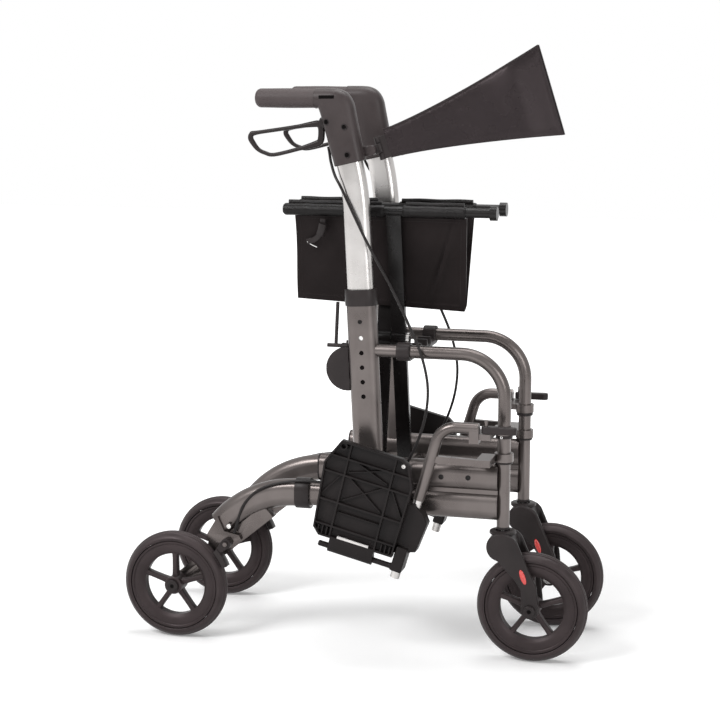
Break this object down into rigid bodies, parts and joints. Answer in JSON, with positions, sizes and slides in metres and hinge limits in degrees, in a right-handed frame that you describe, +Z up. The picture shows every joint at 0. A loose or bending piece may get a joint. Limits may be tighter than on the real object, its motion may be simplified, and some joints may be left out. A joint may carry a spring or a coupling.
{
  "type": "rollator transport chair",
  "caption": "Folding walker chair: side frames on caster and fixed wheels, cross-folding seat, height-adjustable brake handles, flip-over backrest band and swing-away footrests.",
  "frame": {"origin": "on the floor, midway between front and rear axles and between the two side frames", "axes": "+X forward to the casters, +Y to the left side, +Z up"},
  "size_m": [0.822, 0.363, 1.0347],
  "materials": {
    "frame_paint": "satin metallic",
    "black_paint": "satin",
    "silver_tube": "satin anodised",
    "bright_steel": "zinc plated",
    "black_plastic": "fine grain",
    "grey_plastic": "satin",
    "grip_rubber": "matt",
    "cable_jacket": "smooth",
    "tyre": "matt",
    "fabric": "woven polyester"
  },
  "bodies": {
    "frame_r": {"main_beam_r": "frame_paint", "front_tube_r": "frame_paint", "upright_tube_r": "frame_paint", "frame_collars_r": "black_plastic", "rear_leg_r": "frame_paint", "rear_strut_r": "frame_paint", "seat_rests_r": "black_plastic", "brake_cable_r": "cable_jacket"},
    "frame_l": {"main_beam_l": "frame_paint", "front_tube_l": "frame_paint", "upright_tube_l": "frame_paint", "frame_collars_l": "black_plastic", "rear_leg_l": "frame_paint", "rear_strut_l": "frame_paint", "seat_rests_l": "black_plastic", "brake_cable_l": "cable_jacket"},
    "cross_a": {"cross_bar_a": "black_paint", "cross_pivot": "bright_steel"},
    "cross_b": {"cross_bar_b": "black_paint"},
    "seat_a": {"seat_panel_a": "fabric"},
    "seat_b": {"seat_panel_b": "fabric"},
    "post_r": {"handle_post_r": "silver_tube", "handle_head_r": "grey_plastic", "grip_r": "grip_rubber"},
    "button_r": {"post_button_r": "bright_steel"},
    "lever_r": {"brake_lever_r": "grey_plastic"},
    "brake_r": {"brake_arm_r": "black_plastic"},
    "wheel_rear_r": {"rear_tyre_r": "tyre", "rear_rim_r": "grey_plastic"},
    "caster_r": {"caster_fork_r": "grey_plastic", "caster_stem_r": "bright_steel"},
    "wheel_front_r": {"front_tyre_r": "tyre", "front_rim_r": "grey_plastic"},
    "footrest_r": {"footrest_hanger_r": "frame_paint"},
    "latch_r": {"footrest_lever_r": "grey_plastic"},
    "footext_r": {"footrest_extension_r": "silver_tube", "footplate_hub_r": "black_plastic"},
    "footplate_r": {"footplate_r": "black_plastic"},
    "back_bracket_r": {"backrest_bracket_r": "black_plastic"},
    "back_band_r": {"backrest_band_r": "fabric"},
    "post_l": {"handle_post_l": "silver_tube", "handle_head_l": "grey_plastic", "grip_l": "grip_rubber"},
    "button_l": {"post_button_l": "bright_steel"},
    "lever_l": {"brake_lever_l": "grey_plastic"},
    "brake_l": {"brake_arm_l": "black_plastic"},
    "wheel_rear_l": {"rear_tyre_l": "tyre", "rear_rim_l": "grey_plastic"},
    "caster_l": {"caster_fork_l": "grey_plastic", "caster_stem_l": "bright_steel"},
    "wheel_front_l": {"front_tyre_l": "tyre", "front_rim_l": "grey_plastic"},
    "footrest_l": {"footrest_hanger_l": "frame_paint"},
    "latch_l": {"footrest_lever_l": "grey_plastic"},
    "footext_l": {"footrest_extension_l": "silver_tube", "footplate_hub_l": "black_plastic"},
    "footplate_l": {"footplate_l": "black_plastic"},
    "back_bracket_l": {"backrest_bracket_l": "black_plastic"},
    "back_band_l": {"backrest_band_l": "fabric"}
  },
  "joints": [
    {"name": "fold_a", "type": "hinge", "parent": "frame_r", "child": "cross_a", "pos_m": [0.0445, -0.0444, 0.2973], "axis": [-1, 0, 0], "range_deg": [0, 50]},
    {"name": "fold_pivot", "type": "hinge", "parent": "cross_a", "child": "cross_b", "pos_m": [0.0445, 0.00001, 0.5301], "axis": [1, 0, 0], "range_deg": [0, 100]},
    {"name": "fold_b", "type": "hinge", "parent": "cross_b", "child": "frame_l", "pos_m": [0.0445, 0.0444, 0.2973], "axis": [-1, 0, 0], "range_deg": [0, 50]},
    {"name": "seat_a_turn", "type": "hinge", "parent": "cross_a", "child": "seat_a", "pos_m": [0, 0.04292, 0.75505], "axis": [-1, 0, 0], "range_deg": [0, 13.6]},
    {"name": "seat_b_turn", "type": "hinge", "parent": "cross_b", "child": "seat_b", "pos_m": [0, -0.04292, 0.75505], "axis": [1, 0, 0], "range_deg": [0, 13.6]},
    {"name": "handle_slide_r", "type": "slide", "parent": "frame_r", "child": "post_r", "axis": [-0.0499, 0, 0.9988], "range_m": [-0.075, 0], "deforming": ["brake_cable_r"]},
    {"name": "button_r", "type": "slide", "parent": "post_r", "child": "button_r", "axis": [0, 1, 0], "range_m": [0, 0.003], "stiffness_N_per_m": 500, "springref_m": -0.004},
    {"name": "lever_r", "type": "hinge", "parent": "post_r", "child": "lever_r", "pos_m": [-0.047, -0.0985, 0.907], "axis": [0, 1, 0], "range_deg": [0, 14], "stiffness_Nm_per_rad": 3, "springref_deg": -6.88},
    {"name": "brake_r", "type": "hinge", "parent": "frame_r", "child": "brake_r", "pos_m": [-0.22, -0.128, 0.175], "axis": [0, 1, 0], "range_deg": [0, 3.1]},
    {"name": "rear_spin_r", "type": "hinge", "parent": "frame_r", "child": "wheel_rear_r", "pos_m": [-0.316, -0.128, 0.095], "axis": [0, 1, 0], "continuous": true},
    {"name": "caster_turn_r", "type": "hinge", "parent": "frame_r", "child": "caster_r", "pos_m": [0.264, -0.0985, 0.21], "axis": [0, 0, 1], "continuous": true},
    {"name": "front_spin_r", "type": "hinge", "parent": "caster_r", "child": "wheel_front_r", "pos_m": [0.316, -0.0985, 0.095], "axis": [0, 1, 0], "continuous": true},
    {"name": "foot_swing_r", "type": "hinge", "parent": "frame_r", "child": "footrest_r", "pos_m": [0.264, -0.0985, 0.37], "axis": [0, 0, 1], "range_deg": [0, 180]},
    {"name": "foot_latch_r", "type": "hinge", "parent": "footrest_r", "child": "latch_r", "pos_m": [0.244, -0.155, 0.409], "axis": [0, 0, -1], "range_deg": [0, 20], "stiffness_Nm_per_rad": 0.6, "springref_deg": -8.59},
    {"name": "foot_length_r", "type": "slide", "parent": "footrest_r", "child": "footext_r", "axis": [-0.284, 0, -0.9588], "range_m": [0, 0.06]},
    {"name": "foot_flip_r", "type": "hinge", "parent": "footext_r", "child": "footplate_r", "pos_m": [0.09685, -0.172, 0.16739], "axis": [0.9703, 0, -0.2419], "range_deg": [0, 90]},
    {"name": "back_flip_r", "type": "hinge", "parent": "post_r", "child": "back_bracket_r", "pos_m": [0.03, -0.075, 0.86], "axis": [0, -1, 0], "range_deg": [0, 145]},
    {"name": "back_swing_r", "type": "hinge", "parent": "back_bracket_r", "child": "back_band_r", "pos_m": [0.04145, -0.075, 0.86361], "axis": [-0.3007, 0, 0.9537], "range_deg": [0, 37.2]},
    {"name": "handle_slide_l", "type": "slide", "parent": "frame_l", "child": "post_l", "axis": [-0.0499, 0, 0.9988], "range_m": [-0.075, 0], "deforming": ["brake_cable_l"]},
    {"name": "button_l", "type": "slide", "parent": "post_l", "child": "button_l", "axis": [0, -1, 0], "range_m": [0, 0.003], "stiffness_N_per_m": 500, "springref_m": -0.004},
    {"name": "lever_l", "type": "hinge", "parent": "post_l", "child": "lever_l", "pos_m": [-0.047, 0.0985, 0.907], "axis": [0, 1, 0], "range_deg": [0, 14], "stiffness_Nm_per_rad": 3, "springref_deg": -6.88},
    {"name": "brake_l", "type": "hinge", "parent": "frame_l", "child": "brake_l", "pos_m": [-0.22, 0.128, 0.175], "axis": [0, 1, 0], "range_deg": [0, 3.1]},
    {"name": "rear_spin_l", "type": "hinge", "parent": "frame_l", "child": "wheel_rear_l", "pos_m": [-0.316, 0.128, 0.095], "axis": [0, 1, 0], "continuous": true},
    {"name": "caster_turn_l", "type": "hinge", "parent": "frame_l", "child": "caster_l", "pos_m": [0.264, 0.0985, 0.21], "axis": [0, 0, 1], "continuous": true},
    {"name": "front_spin_l", "type": "hinge", "parent": "caster_l", "child": "wheel_front_l", "pos_m": [0.316, 0.0985, 0.095], "axis": [0, 1, 0], "continuous": true},
    {"name": "foot_swing_l", "type": "hinge", "parent": "frame_l", "child": "footrest_l", "pos_m": [0.264, 0.0985, 0.37], "axis": [0, 0, -1], "range_deg": [0, 180]},
    {"name": "foot_latch_l", "type": "hinge", "parent": "footrest_l", "child": "latch_l", "pos_m": [0.244, 0.155, 0.409], "axis": [0, 0, 1], "range_deg": [0, 20], "stiffness_Nm_per_rad": 0.6, "springref_deg": -8.59},
    {"name": "foot_length_l", "type": "slide", "parent": "footrest_l", "child": "footext_l", "axis": [-0.284, 0, -0.9588], "range_m": [0, 0.06]},
    {"name": "foot_flip_l", "type": "hinge", "parent": "footext_l", "child": "footplate_l", "pos_m": [0.09685, 0.172, 0.16739], "axis": [-0.9703, 0, 0.2419], "range_deg": [0, 90]},
    {"name": "back_flip_l", "type": "hinge", "parent": "post_l", "child": "back_bracket_l", "pos_m": [0.03, 0.075, 0.86], "axis": [0, -1, 0], "range_deg": [0, 145]},
    {"name": "back_swing_l", "type": "hinge", "parent": "back_bracket_l", "child": "back_band_l", "pos_m": [0.04145, 0.075, 0.86361], "axis": [0.3007, 0, -0.9537], "range_deg": [0, 37.2]}
  ],
  "couplings": [
    {"joint": "fold_pivot", "follows": "fold_a", "ratio": 2},
    {"joint": "fold_b", "follows": "fold_a", "ratio": 1},
    {"joint": "seat_a_turn", "follows": "fold_a", "ratio": 0.27},
    {"joint": "seat_b_turn", "follows": "fold_a", "ratio": 0.27},
    {"joint": "back_swing_r", "follows": "fold_a", "ratio": 0.74},
    {"joint": "brake_r", "follows": "lever_r", "ratio": 0.22},
    {"joint": "back_swing_l", "follows": "fold_a", "ratio": 0.74},
    {"joint": "brake_l", "follows": "lever_l", "ratio": 0.22},
    {"joint": "back_flip_l", "follows": "back_flip_r", "ratio": 1}
  ]
}
